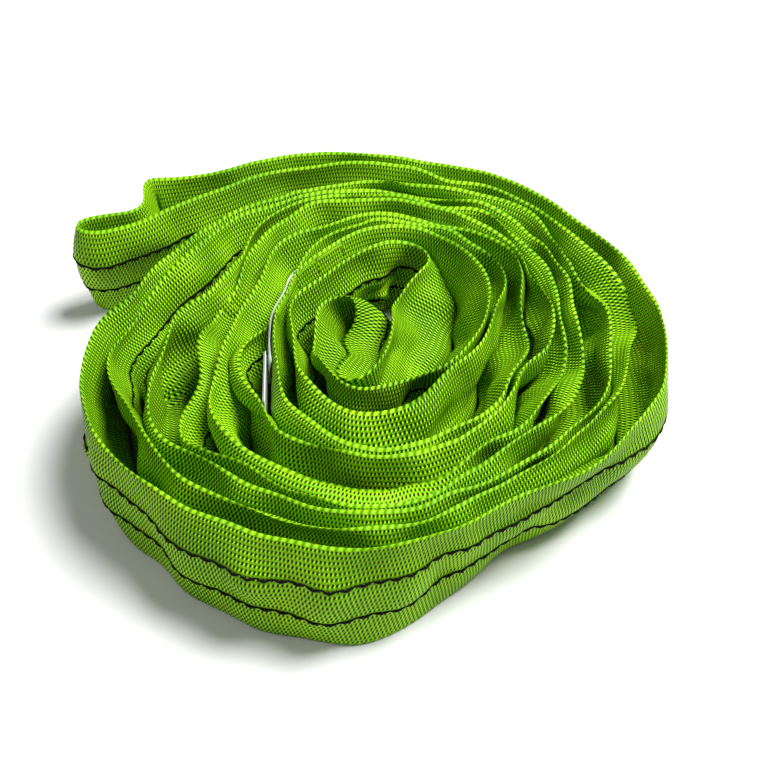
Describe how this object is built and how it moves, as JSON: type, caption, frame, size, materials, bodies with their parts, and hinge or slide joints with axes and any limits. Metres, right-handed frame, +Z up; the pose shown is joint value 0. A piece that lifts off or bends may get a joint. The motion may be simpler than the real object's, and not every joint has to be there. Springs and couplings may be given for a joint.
{
  "type": "round sling",
  "caption": "Endless polyester round sling, a flat woven sleeve over a yarn hank, laid double and coiled on its edge, with a sewn label.",
  "frame": {"origin": "centre of the coiled sling's bounding box, on the surface that its folded edge stands on", "axes": "+Z up across the sleeve's width, +X towards the right of the coil away from its open eye, +Y to the back"},
  "size_m": [0.2654, 0.2416, 0.05],
  "materials": {
    "sleeve_cloth": "coarse woven polyester, slight sheen",
    "marker_yarn": "black woven polyester yarn",
    "core_yarn": "undyed high-tenacity polyester yarn",
    "tape": "woven cotton tape",
    "sewing_thread": "twisted polyester thread",
    "label_sheet": "white coated label sheet",
    "clear_film": "clear flexible film"
  },
  "bodies": {
    "sling": {"sleeve": "sleeve_cloth", "marker_thread_lower": "marker_yarn", "marker_thread_upper": "marker_yarn", "load_core": "core_yarn", "core_tape_1": "tape", "core_tape_2": "tape", "core_tape_3": "tape", "core_tape_4": "tape", "core_tape_5": "tape", "yarn_end_tape": "tape", "closure_tuck": "sleeve_cloth", "closure_stitching": "sewing_thread", "label": "label_sheet", "label_cover": "clear_film", "label_stitching": "sewing_thread", "trace_tag": "label_sheet"},
    "label_end": {"label_flap": "label_sheet", "flap_cover": "clear_film"}
  },
  "joints": [
    {"name": "label_bend", "type": "hinge", "parent": "sling", "child": "label_end", "pos_m": [-0.03776, -0.01734, 0.025], "axis": [0, 0, 1], "range_deg": [-3, 5]}
  ]
}
